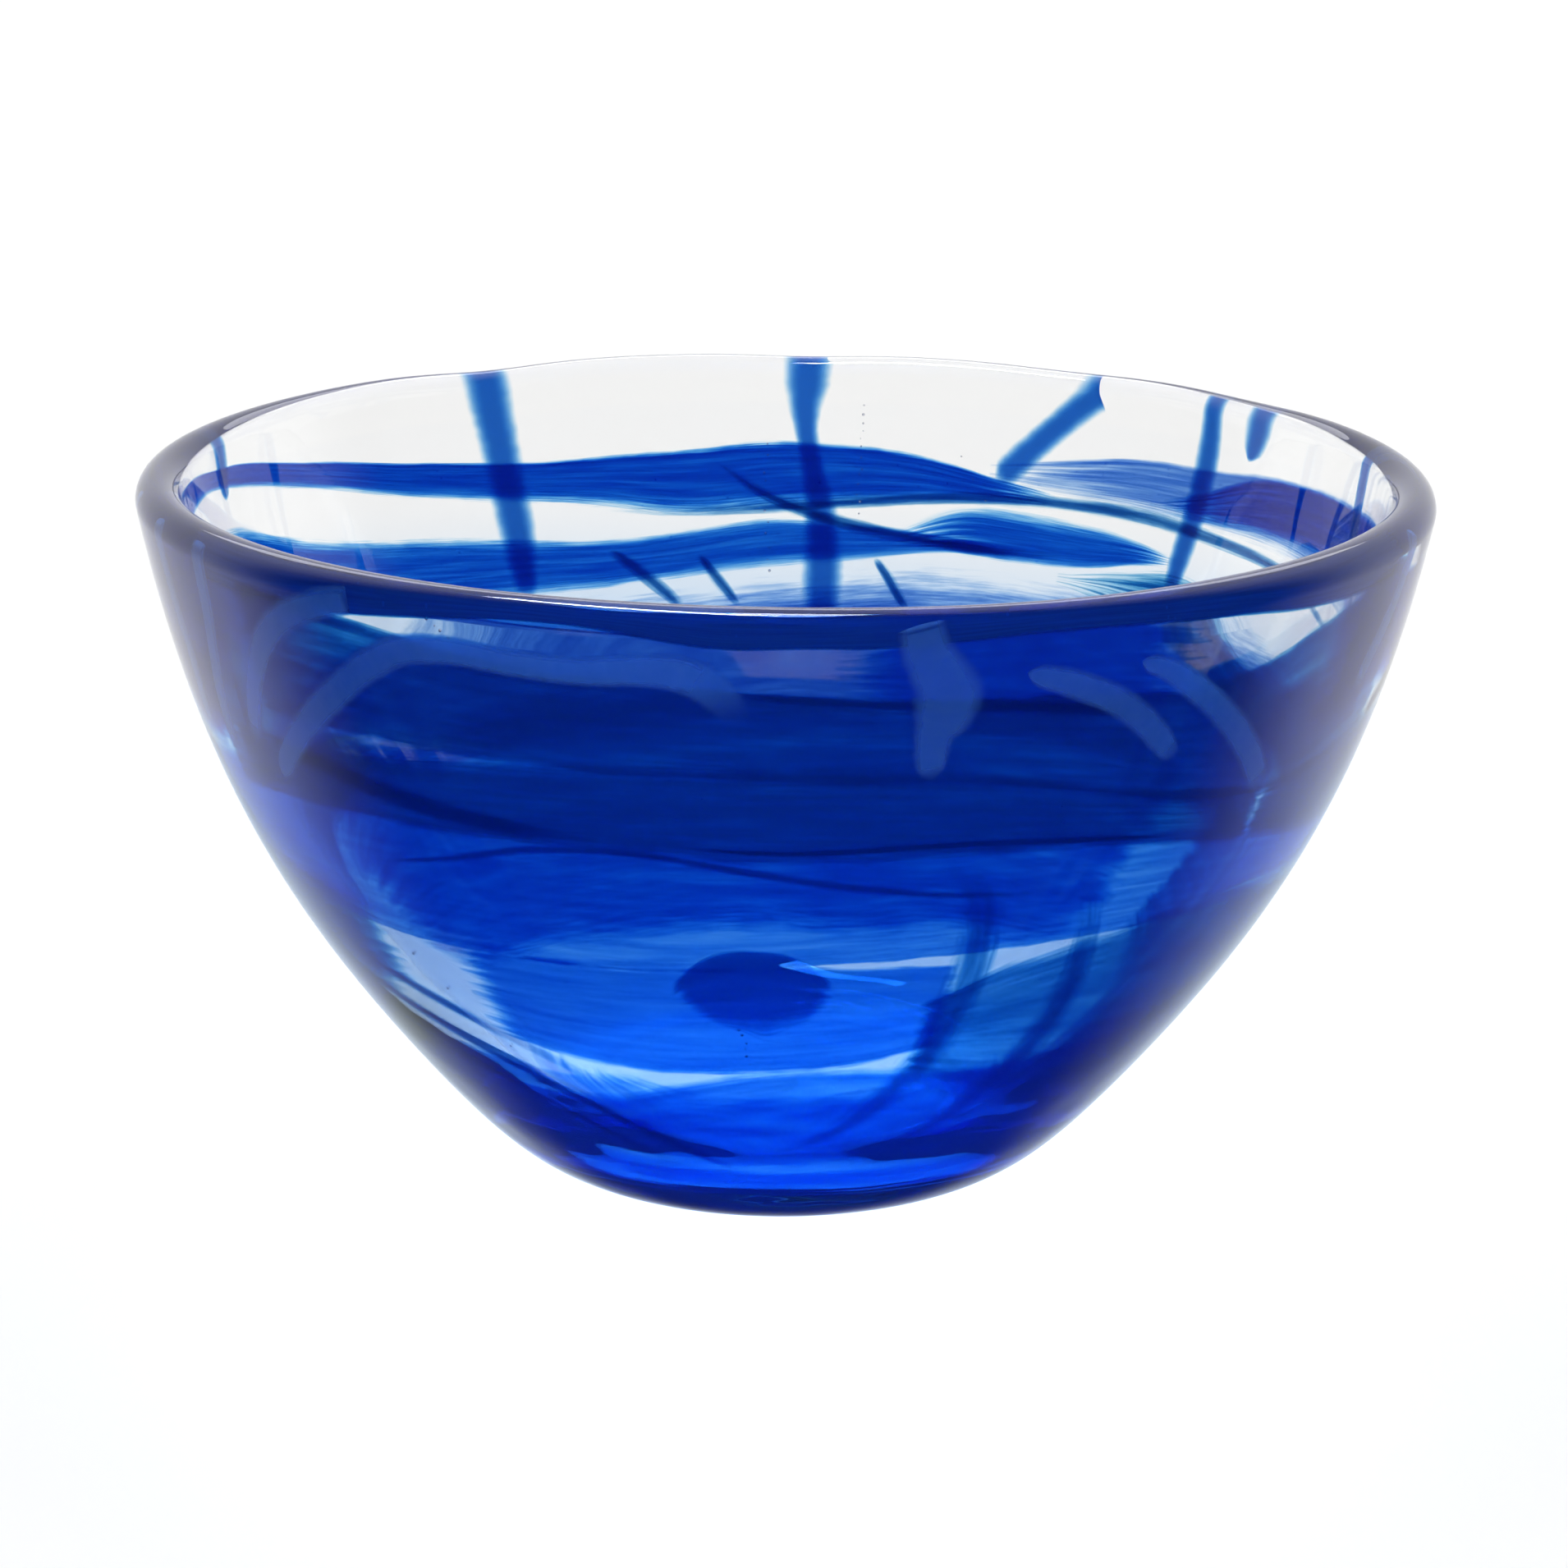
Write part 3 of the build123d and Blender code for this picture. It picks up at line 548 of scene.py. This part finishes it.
# ------------------------------------------------------------------ colour inside the wall
RIBBONS = {
    "upper_band": (B, [
        (212, 71, 86), (204, 73, 86), (196, 75.6, 85.8), (186, 79, 85.4), (172, 81.2, 84.6), (160, 79.6, 83),
        (148, 76.6, 80.4), (136, 73.2, 78), (124, 70.6, 76.7), (112, 68.6, 75.9), (100, 66.4, 76.5),
        (88, 67.5, 77.4), (76, 68.6, 76.2), (66, 69.6, 73.6), (58, 70.2, 71.8)]),
    "back_lower_band": (C, [
        (204, 60, 74), (197, 60.4, 75), (190, 61, 76), (176, 62, 77), (164, 61.5, 76), (152, 60, 71.6),
        (140, 58.6, 68.6), (128, 57.6, 66.8), (116, 57.4, 65.2), (104, 58.2, 64.8), (92, 59.6, 66.5),
        (80, 61.2, 66.2), (70, 62.6, 65.2), (60, 63, 64.5)]),
    "right_fan": (D, [
        (78, 62.5, 65.5), (70, 62.6, 69.6), (62, 62.4, 69.8), (54, 62.8, 69), (47, 64.5, 68),
        (42, 65.4, 67)]),
    "right_pale_veil": (E, [
        (66, 73, 75.6), (58, 72, 77.4), (48, 71.6, 78.8), (38, 71, 79.8), (28, 70.6, 80.8),
        (16, 70, 81.4), (2, 69, 82), (-12, 67.4, 83), (-24, 66, 84), (-35, 64, 82)]),
    "right_dark_lobe": (B, [
        (46, 71.8, 73.4), (40, 71.2, 76), (33, 71.4, 79.2), (26, 72, 80.3), (16, 72.4, 80.4),
        (4, 71.6, 80.6), (-6, 70.4, 81.4), (-13, 69, 82.2), (-18.5, 68, 83)]),
    "right_side_band": (C, [
        (-39, 54.6, 63), (-34, 53.4, 64), (-28, 52, 65), (-14, 50, 66), (-2, 49.6, 64), (8, 49.6, 59),
        (18, 50, 57), (28, 51.6, 60), (38, 55, 65), (48, 58, 64), (56, 60, 62)]),
    "back_low_veil": (E, [
        (200, 36.6, 57.4), (193, 37.2, 58), (184, 38, 59), (172, 38.7, 59.2), (160, 39, 58.8),
        (148, 38.8, 58), (136, 38, 57),
        (120, 38, 57), (104, 38, 58.4), (88, 38, 60), (72, 38, 62), (56, 38, 62),
        (40, 38, 62), (24, 37, 62), (8, 36, 62), (-6, 36, 60)]),
    "back_deep_band": (C, [
        (186, 22, 37), (174, 17, 42), (160, 15, 45), (144, 14, 46), (128, 13.5, 46),
        (112, 13, 45.5), (96, 13, 45), (80, 13, 45), (64, 14, 45.5), (48, 15, 46),
        (34, 16, 46), (22, 18, 44)]),
    "front_top_band": (B, [
        (-143, 69, 85.6), (-134, 69, 84.8), (-124, 69, 83.4), (-112, 69, 81.8), (-98, 69, 80.2),
        (-84, 68.6, 79.2), (-72, 67.4, 79.2), (-62, 65.4, 78.4), (-54, 63, 77.6), (-46, 61, 79),
        (-38, 60.5, 82), (-30, 61.2, 84.8), (-21.5, 64, 86)]),
    # front_crest_band: partly blue ink, partly painted shade. This dense navy sheet runs under the front lip
    # only and stands in for the dark that the lip roll shows from the front by refraction.
    "front_crest_band": (C, [
        (-152, 83.6, 87.2), (-146, 83.4, 87.4), (-138, 83.5, 87.6), (-128, 84.4, 87.7), (-120, 85.5, 87.7),
        (-112, 85.9, 87.7), (-104, 85.5, 87.7), (-96, 84.4, 87.7), (-88, 84.7, 87.7), (-80, 84.9, 87.7),
        (-70, 85.7, 87.7), (-60, 85.5, 87.7), (-50, 84.6, 87.7), (-41, 83.6, 87.7), (-32, 83.4, 87.5),
        (-22, 83.6, 87.2)]),
    "left_side_veil": (E, [
        (-178, 67, 84.6), (-168, 64, 86), (-158, 61.4, 86.4), (-148, 60.6, 86.2), (-138, 62, 85.4),
        (-128, 65.4, 84.4)]),
    "right_window_veil": (E, [
        (-85, 78.8, 84.4), (-77, 77.6, 86), (-69, 76.4, 86.6), (-61, 75.4, 86.4), (-53, 74.6, 85)]),
    "front_dark_band": (C, [
        (-154, 57, 65), (-143, 58, 66), (-132, 58.6, 67.4), (-120, 58.6, 69.2), (-108, 58.4, 70.6),
        (-96, 58.3, 71.4), (-84, 58.4, 71.4), (-72, 58.6, 70), (-62, 58, 67.6), (-52, 56.6, 65),
        (-40.4, 54.8, 63)]),
    "front_middle_band": (D, [
        (-168, 46, 61), (-152, 44.4, 61.5), (-138, 43.3, 61.5), (-124, 43.1, 61.5), (-110, 43.5, 61.5),
        (-96, 44.3, 61.5), (-82, 45.2, 61.5), (-68, 46, 61), (-54, 46.3, 60), (-40, 46, 58.5),
        (-24, 46, 56), (-8, 47, 54)]),
    # front_window_veil: partly blue ink, partly painted shade. Its density stands in for the bowl's shadow on
    # the floor seen through it, since the even fill casts none.
    "front_window_veil": (E, [
        (-127, 31, 43.6), (-117, 29, 44), (-106, 28.5, 44.5), (-94, 29, 45), (-82, 30, 45.5),
        (-72, 32, 45)]),
    "left_lower_band": (B, [
        (-204, 42, 46), (-190, 39, 49), (-176, 38, 50), (-162, 35, 48), (-150, 31, 46),
        (-141, 32, 44)]),
    "right_lower_band": (C, [
        (-74, 26, 40), (-64, 21, 45), (-50, 18, 48), (-36, 17, 48), (-20, 18, 46),
        (-4, 20, 44), (10, 23, 41)]),
    "front_bottom_band": (B, [
        (-156, 15, 24), (-146, 13, 25), (-136, 11.4, 24.6), (-126, 10, 23.6), (-115, 8.6, 24),
        (-104, 7.8, 27), (-93, 7.6, 30), (-81, 7.6, 31), (-69, 7.6, 30), (-56, 8, 30), (-43, 8.4, 31),
        (-33, 8.8, 31), (-24, 9.4, 30), (-16, 10, 28)]),
    "base_swirl_front": (D, [
        (-176, -5, 12), (-167, -7.6, 12.5), (-158, -10, 13), (-148, -12.2, 13), (-140, -14, 13),
        (-122, -17, 12), (-104, -18.5, 11),
        (-86, -19, 10.5), (-68, -18.5, 10.5), (-50, -17, 11), (-32, -14, 12), (-14, -10, 12),
        (2, -5, 11)]),
    "base_swirl_back": (F, [
        (75, -8, 8.8), (82, -12, 10.8), (89, -15, 12), (97, -16.5, 12.6), (105, -15.5, 12.2),
        (113, -12, 10.8), (121, -8, 8.8)]),
}

TRAILS = {
    "back_cross_trail": (F, [
        (98, 75, 1.6), (93, 70.6, 2.2), (87, 67.6, 2.6), (80, 65.6, 2.6), (72, 64.4, 2.2),
        (64, 64, 1.8), (56, 64.6, 1.2)]),
    "back_dark_trail": (A, [
        (112, 68.6, 1.2), (102, 67.4, 1.8), (92, 67.8, 2.2), (82, 68.8, 2.4), (72, 70, 2.4),
        (60, 70.8, 2.6), (48, 70.8, 2.8), (36, 69.8, 2.4), (22, 68.6, 2), (6, 67, 1.6), (-10, 65, 1.2)]),
    "back_stroke_left": (A, [
        (110.5, 62.6, 1.6), (108, 60.6, 2.6), (105, 57.6, 2.8), (102, 54.4, 1.6)]),
    "back_stroke_middle": (A, [
        (100, 61.6, 1.4), (98.6, 59.4, 2.2), (96.8, 56.8, 2.2), (95.2, 54.4, 1.4)]),
    "back_stroke_right": (A, [(79.6, 61.4, 1.4), (78, 59, 2), (76.4, 56.4, 2), (75, 54.4, 1.4)]),
    "front_upper_trail": (A, [
        (-97, 79.6, 1), (-88, 79, 1.6), (-79, 78.4, 2), (-70, 77.4, 2.2), (-62, 75.8, 1.8),
        (-55, 73.4, 1)]),
    "front_left_trail": (A, [
        (-147, 66.4, 1.6), (-139, 65, 3.4), (-131, 63.4, 4.2), (-123, 62.2, 4), (-115, 61.2, 3),
        (-106.5, 60.4, 1.4)]),
    "front_lower_trail": (A, [
        (-102, 60.7, 0.9), (-90, 60.3, 1.2), (-78, 60.8, 1.4), (-67, 60.4, 1.3), (-56, 59, 1.2),
        (-47, 57.2, 1)]),
    "front_arch_trail": (F, [
        (-134, 53.2, 1), (-124, 55.6, 1.4), (-114, 58.6, 1.6), (-104, 59.4, 1.6), (-94, 57.8, 1.6),
        (-84, 55.8, 1.8), (-74, 54.2, 1.6), (-65, 53.4, 1.2)]),
    "right_swirl_inner": (A, [
        (-77, 58.6, 2.4), (-72.5, 56, 5), (-70.6, 50, 7), (-70.6, 42, 7.6), (-72, 34, 7),
        (-75, 27, 6), (-81, 20.5, 4.4), (-90, 16, 2.4)]),
    "right_swirl_outer": (F, [
        (-62, 57.6, 2.4), (-58.6, 52, 4), (-57, 45, 5.4), (-56.4, 38, 6.4), (-58, 30, 6.8),
        (-63, 22.5, 6.4), (-72, 16.5, 5), (-84, 13.5, 2.8)]),
    "lower_left_trail": (A, [
        (-157, 36, 2), (-147, 33.4, 3), (-138, 30.4, 3.2), (-129, 27, 3), (-120, 23, 2.6),
        (-111, 18.5, 2.4), (-102, 14.4, 2), (-93, 11, 1.6)]),
    "lower_left_trail_fine": (A, [
        (-152, 29.6, 1), (-142, 27, 1.3), (-132, 23.6, 1.5), (-123, 20, 1.5), (-114, 15.6, 1.3),
        (-106, 12, 1)]),
}

LIP_START = 85.0    # a drip that begins above this height comes from the lip, so its top end stays full width
DRIPS = {
    "drip_front_garland": [
        (-143, 61, 2.6), (-141.4, 63.4, 4), (-138.6, 66.8, 4.4), (-134.6, 71, 4.6), (-130.6, 75, 4.6),
        (-126.6, 78.8, 4.6), (-122.6, 81.4, 4.4), (-117.6, 82.2, 4), (-112, 81.6, 3.8), (-106.4, 81.4, 4),
        (-101.4, 82, 4.6), (-98, 81.6, 5.2), (-95.6, 79.8, 5.2), (-94.2, 77.6, 4.2), (-93.4, 75.6, 2.6)],
    "drip_front_right": [
        (-79.4, 87.2, 6), (-78.9, 84.6, 6.6), (-77.8, 82, 7.8), (-76.9, 79.6, 9), (-77.2, 77.2, 8.2),
        (-77.8, 74.6, 5.4), (-77.9, 71.6, 4.4), (-77.6, 69, 2.8)],
    "drip_right_inner": [
        (-70.4, 81.6, 2.8), (-66.4, 79.9, 4), (-62.2, 77.4, 4.2), (-58.8, 74.2, 4.2), (-56.2, 71, 3.8),
        (-54.4, 68.4, 2.4)],
    "drip_right_outer": [
        (-60, 81.6, 2.4), (-57, 80, 3.4), (-53.6, 77, 4), (-50.2, 73.6, 4.2), (-47, 70, 4.4),
        (-44.2, 66.2, 4.4), (-42.2, 63, 3.8), (-41.2, 61.2, 2.4)],
    "drip_left_slant": [
        (-128, 86, 3.4), (-132, 84.6, 4.2), (-136.4, 82, 4.6), (-140, 78, 4.6), (-142.8, 73, 4.2),
        (-145, 68, 3.6), (-146.5, 63.6, 2.2)],
    "drip_left_one": [
        (-148.4, 87.2, 4), (-148.8, 80, 3.6), (-150, 74, 3.4), (-151.5, 68, 3.2), (-152.4, 61, 2)],
    "drip_left_two": [
        (-158, 87.2, 3.6), (-157.5, 79, 3.6), (-157, 72, 3.6), (-158, 66, 3.2), (-159, 61.5, 2)],
    "drip_left_three": [(-169, 87.2, 3.6), (-169, 79, 3.4), (-170, 73, 2.8), (-170.4, 68.6, 1.8)],
    "drip_back_small": [(164, 87.2, 5), (164.4, 84, 4.4), (165, 81, 3.4), (165.4, 79, 2)],
    "drip_back_left": [
        (122.4, 87.2, 8.4), (122.2, 84, 8), (121.8, 79, 7.2), (121.4, 73, 7), (121, 66, 6.6),
        (121, 60, 5), (121, 56.5, 2.8)],
    "drip_back_centre": [
        (87.6, 87.2, 7.6), (87.8, 84.6, 7), (87.9, 81.4, 5.2), (87.7, 78, 3.8), (87, 73, 4.2),
        (86, 67, 5.4), (85.6, 60, 6.6), (85.6, 54, 6), (86, 49, 3.4)],
    "drip_back_slant": [
        (55.8, 85.8, 5.2), (57.6, 84.2, 5.4), (60.2, 81, 5), (62.8, 77.6, 5), (65, 74.6, 5),
        (66.6, 72.4, 3.2)],
    "drip_back_faint": [
        (41.4, 87.2, 4), (41, 84, 4.4), (40.8, 79, 5), (41, 73, 5), (41.6, 66, 4.4), (42, 61, 2.4)],
    "drip_back_short": [(34.2, 87.2, 6.4), (34.2, 84.8, 6), (34.4, 82.6, 4.6), (34.8, 80.8, 2.4)],
    "drip_side_one": [(12, 87.2, 4), (11, 80, 3.8), (9, 74, 3.4), (8, 69, 2)],
    "drip_side_two": [(-22, 87.2, 3.6), (-24, 80, 3.8), (-27, 74, 3.8), (-28.5, 70, 2.2)],
}

# How each ribbon is coloured: ink, amount, softness of its lower and upper edge as shares of its width,
# dark lines along those edges, how much of its length its two ends fade over, and how streaky it is.
LOOKS = {
    "upper_band": (COBALT, 3.0, (0.34, 0.14), (0.9, 1.0), (0.01, 0.10), 0.6),
    "back_lower_band": (COBALT, 2.5, (0.30, 0.22), (0.7, 0.4), (0.01, 0.14), 0.6),
    "right_fan": (COBALT, 2.6, (0.20, 0.35), (0.5, 0.0), (0.30, 0.25), 0.6),
    "right_pale_veil": (PALE, 1.5, (0.40, 0.10), (0.0, 0.2), (0.20, 0.02), 0.7),
    "right_dark_lobe": (COBALT, 2.8, (0.30, 0.12), (0.3, 0.5), (0.25, 0.01), 0.8),
    "right_side_band": (NAVY, 2.0, (0.20, 0.30), (0.3, 0.3), (0.01, 0.20), 0.7),
    "back_low_veil": (PALE, 2.2, (0.30, 0.30), (0.0, 0.0), (0.08, 0.05), 0.5),
    "back_deep_band": (COBALT, 1.8, (0.20, 0.12), (0.3, 0.3), (0.12, 0.06), 0.8),
    "front_top_band": (NAVY, 1.9, (0.10, 0.06), (0.0, 0.6), (0.01, 0.01), 0.7),
    # front_crest_band: its dense navy is partly the ink's own colour and partly painted shade for the dark
    # lip roll seen from the front.
    "front_crest_band": (NAVY, 4.8, (0.20, 0.05), (0.0, 0.0), (0.03, 0.03), 0.4),
    "left_side_veil": (NAVY, 1.6, (0.30, 0.06), (0.3, 0.0), (0.25, 0.25), 0.7),
    "right_window_veil": (COBALT, 1.9, (0.15, 0.10), (0.0, 0.0), (0.15, 0.20), 0.6),
    "front_dark_band": (NAVY, 2.5, (0.20, 0.18), (0.4, 0.4), (0.01, 0.01), 0.7),
    "front_middle_band": (COBALT, 1.2, (0.03, 0.15), (0.15, 0.0), (0.05, 0.05), 0.7),
    # front_window_veil: its amount is partly the ink's blue and partly painted shade for the unshadowed floor
    # seen through it.
    "front_window_veil": (COBALT, 1.7, (0.08, 0.05), (0.0, 0.0), (0.08, 0.02), 0.4),
    "left_lower_band": (NAVY, 1.8, (0.30, 0.15), (0.2, 0.2), (0.05, 0.10), 0.7),
    "right_lower_band": (NAVY, 1.5, (0.30, 0.06), (0.2, 0.0), (0.02, 0.05), 0.7),
    "front_bottom_band": (COBALT, 1.5, (0.20, 0.08), (0.3, 0.0), (0.10, 0.08), 0.7),
    "base_swirl_front": (COBALT, 1.2, (0.30, 0.20), (0.3, 0.3), (0.12, 0.12), 0.8),
    "base_swirl_back": (NAVY, 2.2, (0.40, 0.05), (0.3, 0.3), (0.12, 0.12), 0.5),
}


def colour_pieces():
    """Every ribbon, trail and drip, each standing for the CAD node of its name."""
    for seed, (name, (layer, stations)) in enumerate(RIBBONS.items()):
        ink, amount, edges, rims, fades, streaks = LOOKS[name]
        piece = ribbon_piece(name + "_glass", layer, stations, seed=seed)
        piece.data.materials.append(ink_material(name + "_ink", ink, amount, edges, rims, fades, streaks))
        settle(piece, name)
    plain = (0.0, 0.0)
    trail_ink = ink_material("dark_trail_ink", DEEP, 1.5, (0.5, 0.5), plain, (0.2, 0.25), 0.5, grain=0.12)
    swirl_ink = ink_material("wide_swirl_ink", NAVY, 1.4, (0.5, 0.5), plain, (0.3, 0.3), 0.5, grain=0.2)
    for seed, (name, (layer, stations)) in enumerate(TRAILS.items()):
        piece = cord_piece(name + "_glass", layer, stations, TRAIL_HALF, seed=seed)
        piece.data.materials.append(swirl_ink if "swirl" in name else trail_ink)
        settle(piece, name)
    front_drip_ink = drip_material("opal_drip_ink", 1.6, 0.25, softness=0.5)
    back_drip_ink = drip_material("faint_drip_ink", 1.5, 0.2, softness=0.8)
    for seed, (name, stations) in enumerate(DRIPS.items()):
        below_lip = stations[0][1] < LIP_START
        piece = cord_piece(name + "_glass", DRIP, stations, DRIP_HALF, seed=seed, rounded_start=below_lip)
        piece.data.materials.append(back_drip_ink if "back" in name else front_drip_ink)
        settle(piece, name)


# ------------------------------------------------------------------ trapped air
# Strings of seed bubbles: azimuth and height of both ends, and how many bubbles.
BUBBLE_STRINGS = [
    (92.2, 77, 92.0, 60, 11), (81.4, 83, 81.6, 68, 13), (-122, 86, -118, 82, 7), (-98, 80, -96, 77, 5),
    (-95, 37, -94, 31, 7), (70, 76, 66, 70, 3), (-150, 60, -128, 30, 6), (-60, 72, -30, 60, 6),
    (170, 60, 120, 30, 6)]
BUBBLE_DEPTH = 0.93         # as a fraction of the wall, close to the inner surface
BUBBLE_SIZES = (0.09, 0.2)  # radius, smallest and largest
BUBBLE_RINGS, BUBBLE_SPOKES = 6, 8


def add_bubble(points, faces, centre, size):
    """Adds one small sphere to a mesh's points and faces."""
    base = len(points)
    points.append(tuple(centre + np.array((0, 0, size))))
    for ring in range(1, BUBBLE_RINGS):
        polar = math.pi * ring / BUBBLE_RINGS
        for spoke in range(BUBBLE_SPOKES):
            turn = 2 * math.pi * spoke / BUBBLE_SPOKES
            across = math.sin(polar)
            direction = np.array((across * math.cos(turn), across * math.sin(turn), math.cos(polar)))
            points.append(tuple(centre + size * direction))
    points.append(tuple(centre - np.array((0, 0, size))))
    bottom = len(points) - 1
    for spoke in range(BUBBLE_SPOKES):
        after = (spoke + 1) % BUBBLE_SPOKES
        faces.append((base, base + 1 + spoke, base + 1 + after))
        for ring in range(BUBBLE_RINGS - 2):
            here = base + 1 + ring * BUBBLE_SPOKES
            below = here + BUBBLE_SPOKES
            faces.append((here + spoke, below + spoke, below + after, here + after))
        here = base + 1 + (BUBBLE_RINGS - 2) * BUBBLE_SPOKES
        faces.append((here + spoke, bottom, here + after))


def seed_bubbles():
    """Tiny round bubbles in the wall, in strings, as one mesh."""
    chance = random.Random(4)
    points, faces = [], []
    for azimuth_a, height_a, azimuth_b, height_b, count in BUBBLE_STRINGS:
        for i in range(count):
            share = (i + chance.uniform(-0.3, 0.3)) / max(count - 1, 1)
            azimuth = azimuth_a + (azimuth_b - azimuth_a) * share + chance.uniform(-0.3, 0.3)
            height = height_a + (height_b - height_a) * share
            place = layer_point(reach_of(height, BUBBLE_DEPTH), BUBBLE_DEPTH)
            centre = hand_made(azimuth, place[0], place[1])
            add_bubble(points, faces, centre, chance.uniform(*BUBBLE_SIZES) * MM)
    piece = make_object("seed_bubbles", points, faces)
    piece.data.materials.append(bubble_material("trapped_air"))
    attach(piece, "root")


# ------------------------------------------------------------------ studio
FLOOR_RADIUS = 5.0
ROOM_STRENGTH = 1.05
ROOM_DARK = 0.02                # what is left of the room's light on its dark side
FILL_STRENGTH = 2.75
FILL_TILT = math.radians(-32)   # brings the fill light from above and behind


def studio():
    """A pale floor, a soft white room, two lamps seen only as glints, and an even fill."""
    bpy.ops.mesh.primitive_circle_add(vertices=96, radius=FLOOR_RADIUS, fill_type="NGON", location=(0, 0, 0))
    floor = bpy.context.object
    floor.name = "studio_floor"
    floor.data.materials.append(floor_material("studio_floor"))
    floor.visible_glossy = False

    bpy.context.scene.world = room()
    area_lamp("lip_lamp", (-0.21, 0.25, 1.23), (0.11, 0.6), 7.0)
    area_lamp("back_softbox", (0.0, 1.3, 0.95), (1.3, 0.35), 3.0)
    fill = bpy.data.lights.new("even_fill", "SUN")
    fill.energy = FILL_STRENGTH
    fill.use_shadow = False
    fill_holder = bpy.data.objects.new("even_fill", fill)
    fill_holder.rotation_euler = (FILL_TILT, 0, 0)
    fill_holder.visible_glossy = False
    bpy.context.scene.collection.objects.link(fill_holder)


def room():
    """White behind the bowl, fading to dark on the camera's side and straight below."""
    world = bpy.data.worlds.new("studio")
    world.use_nodes = True
    tree = world.node_tree
    background = tree.nodes["Background"]
    direction = tree.nodes.new("ShaderNodeTexCoord").outputs["Generated"]
    parts = tree.nodes.new("ShaderNodeSeparateXYZ")
    tree.links.new(direction, parts.inputs[0])
    both = tree.nodes.new("ShaderNodeMath")
    both.operation = "MULTIPLY"
    for place, (axis, dark, bright) in enumerate((("Y", 0.0, 0.55), ("Z", -0.8, -0.4))):
        spread = tree.nodes.new("ShaderNodeMapRange")
        spread.interpolation_type = "SMOOTHSTEP"
        spread.inputs["From Min"].default_value = dark
        spread.inputs["From Max"].default_value = bright
        spread.inputs["To Min"].default_value = ROOM_DARK
        tree.links.new(parts.outputs[axis], spread.inputs["Value"])
        tree.links.new(spread.outputs[0], both.inputs[place])
    tree.links.new(both.outputs[0], background.inputs["Color"])
    background.inputs["Strength"].default_value = ROOM_STRENGTH
    return world


def area_lamp(name, place, size, power):
    """A rectangular lamp that points at the bowl and shows only as a glint on its surface."""
    lamp = bpy.data.lights.new(name, "AREA")
    lamp.shape = "RECTANGLE"
    lamp.size, lamp.size_y = size
    lamp.energy = power
    holder = bpy.data.objects.new(name, lamp)
    holder.location = place
    holder.rotation_euler = (Vector((0, 0, 0.09)) - holder.location).to_track_quat("-Z", "Y").to_euler()
    holder.visible_diffuse = False
    holder.visible_transmission = False
    bpy.context.scene.collection.objects.link(holder)


CAMERA_DISTANCE = 0.560
CAMERA_ELEVATION = math.radians(16.04)
CAMERA_ROLL = math.radians(0.16)
SENSOR_WIDTH, FOCAL_LENGTH = 36.0, 101.5
SHIFT_X, SHIFT_Y = 0.0020, 0.0162


def camera():
    """Long lens a little above the lip, in front of the bowl."""
    target = Vector((0, 0, HEIGHT * MM / 2))
    back = Vector((0, -math.cos(CAMERA_ELEVATION), math.sin(CAMERA_ELEVATION)))
    lens = bpy.data.cameras.new("camera")
    lens.sensor_width, lens.lens = SENSOR_WIDTH, FOCAL_LENGTH
    lens.shift_x, lens.shift_y = SHIFT_X, SHIFT_Y
    eye = bpy.data.objects.new("camera", lens)
    eye.location = target + back * CAMERA_DISTANCE
    eye.rotation_mode = "QUATERNION"
    eye.rotation_quaternion = Quaternion(back, CAMERA_ROLL) @ (-back).to_track_quat("-Z", "Y")
    bpy.context.scene.collection.objects.link(eye)
    bpy.context.scene.camera = eye


def light_paths():
    """Enough bounces for light to cross two walls full of ribbons, and plain colours."""
    scene = bpy.context.scene
    scene.cycles.max_bounces = 24
    scene.cycles.transmission_bounces = 20
    scene.cycles.glossy_bounces = 10
    scene.cycles.diffuse_bounces = 3
    scene.cycles.transparent_max_bounces = 64
    scene.view_settings.view_transform = "Standard"


clear_bodies()
colour_pieces()
seed_bubbles()
studio()
camera()
light_paths()
